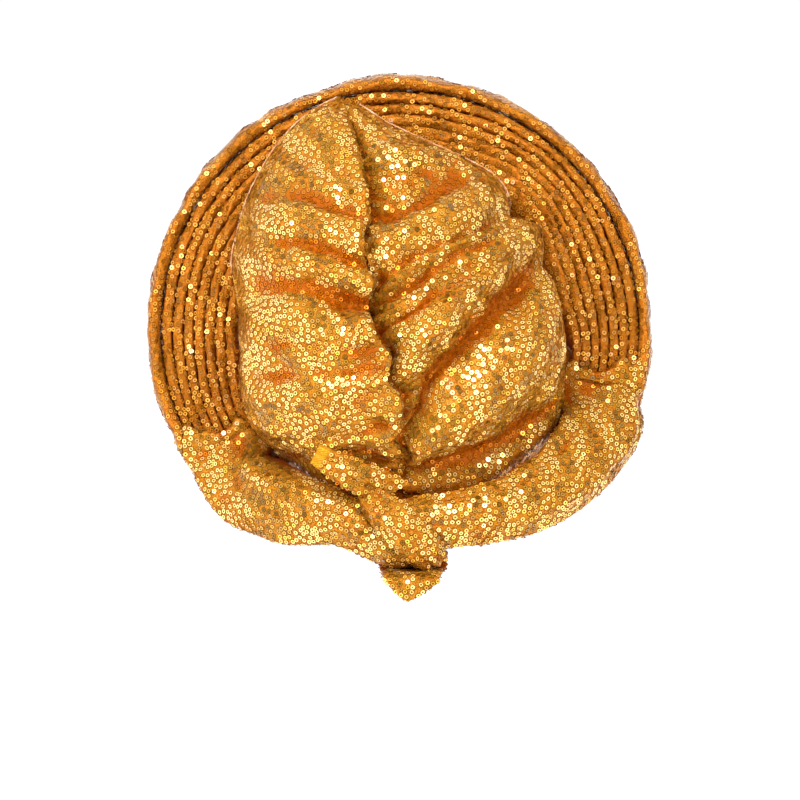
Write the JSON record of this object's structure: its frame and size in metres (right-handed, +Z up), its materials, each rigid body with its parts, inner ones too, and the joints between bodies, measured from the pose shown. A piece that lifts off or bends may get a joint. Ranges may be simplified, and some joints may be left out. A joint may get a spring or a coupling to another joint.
{
  "type": "tied gele head tie",
  "caption": "Sequinned head wrap, pre-tied: pleats fanned over the head from ear to ear, a ruched bag behind, and rolled ends knotted at the nape.",
  "frame": {"origin": "crown of the wearer's head, the point inside the gele that it is held up by", "axes": "+Z up, +Y the way the wearer faces, +X to the wearer's right"},
  "size_m": [0.3139, 0.2018, 0.3223],
  "materials": {
    "pleated_fan": "gold sequins sewn close together on amber net",
    "outer_wrap": "gold sequins sewn close together on amber net",
    "crown_bag": "gold sequins sewn close together on amber net",
    "left_wrap": "gold sequins sewn close together on amber net",
    "right_wrap": "gold sequins sewn close together on amber net",
    "nape_knot": "gold sequins sewn close together on amber net",
    "upper_tail": "gold sequins sewn close together on amber net",
    "lower_tail": "gold sequins sewn close together on amber net"
  },
  "bodies": {
    "root": {"pleated_fan": "pleated_fan", "outer_wrap": "outer_wrap", "crown_bag": "crown_bag", "left_wrap": "left_wrap", "right_wrap": "right_wrap", "nape_knot": "nape_knot", "upper_tail": "upper_tail", "lower_tail": "lower_tail"}
  },
  "joints": []
}
